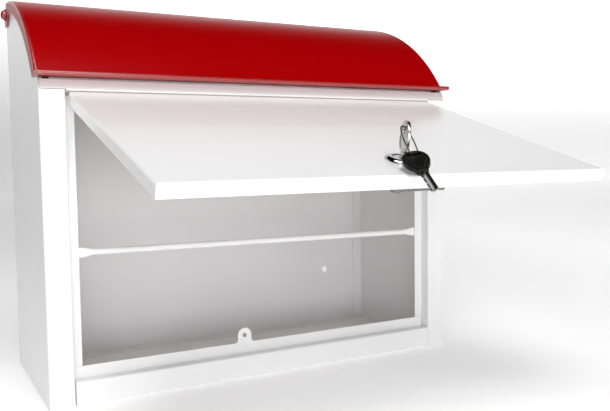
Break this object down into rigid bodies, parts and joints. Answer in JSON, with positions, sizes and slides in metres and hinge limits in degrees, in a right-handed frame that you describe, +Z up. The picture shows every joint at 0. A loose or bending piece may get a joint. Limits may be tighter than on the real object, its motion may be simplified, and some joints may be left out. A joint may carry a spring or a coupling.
{
  "type": "wall mounted post box",
  "caption": "White sheet-steel wall post box with a hinged red barrel lid, a front door that swings up on a hinge pin, a cam lock with keys and a letter bar across the opening.",
  "frame": {"origin": "middle of the rectangle of wall holes, on the rear face that lies on the wall", "axes": "+X to the right seen from the front, +Y into the wall, +Z up; the front faces -Y"},
  "size_m": [0.3912, 0.3923, 0.3298],
  "materials": {
    "white_paint": "gloss",
    "red_paint": "gloss",
    "bright_chrome": "polished",
    "zinc_plate": "satin",
    "key_nickel": "semi-gloss",
    "dark_steel": "satin",
    "black_plastic": "gloss",
    "black_rubber": "matt"
  },
  "bodies": {
    "box": {"left_side_panel": "white_paint", "right_side_panel": "white_paint", "back_panel": "white_paint", "floor_pan": "white_paint", "header_rail": "white_paint", "letter_bar": "white_paint", "door_hinge_pin": "zinc_plate", "lid_pivot_screws": "red_paint", "lid_pivot_washers": "red_paint", "lid_pivot_nuts": "zinc_plate", "lid_bumpers": "black_rubber"},
    "lid": {"lid_shell": "red_paint"},
    "door": {"door_panel": "white_paint", "lock_housing": "bright_chrome", "lock_nut": "zinc_plate"},
    "lock": {"lock_plug": "bright_chrome", "lock_cam": "zinc_plate", "cam_washer": "zinc_plate", "cam_screw": "zinc_plate", "lock_key": "key_nickel", "key_ring": "dark_steel", "spare_key_head": "black_plastic", "spare_key_blade": "key_nickel"}
  },
  "joints": [
    {"name": "lid_swing", "type": "hinge", "parent": "box", "child": "lid", "pos_m": [0, -0.006, 0.169], "axis": [-1, 0, 0], "range_deg": [0, 45]},
    {"name": "door_swing", "type": "hinge", "parent": "box", "child": "door", "pos_m": [0, -0.14774, 0.08898], "axis": [-1, 0, 0], "range_deg": [-73.3, 16.7]},
    {"name": "lock_turn", "type": "hinge", "parent": "door", "child": "lock", "pos_m": [0.006, -0.32921, 0.0369], "axis": [0, 0.2874, -0.9578], "range_deg": [0, 90]}
  ]
}
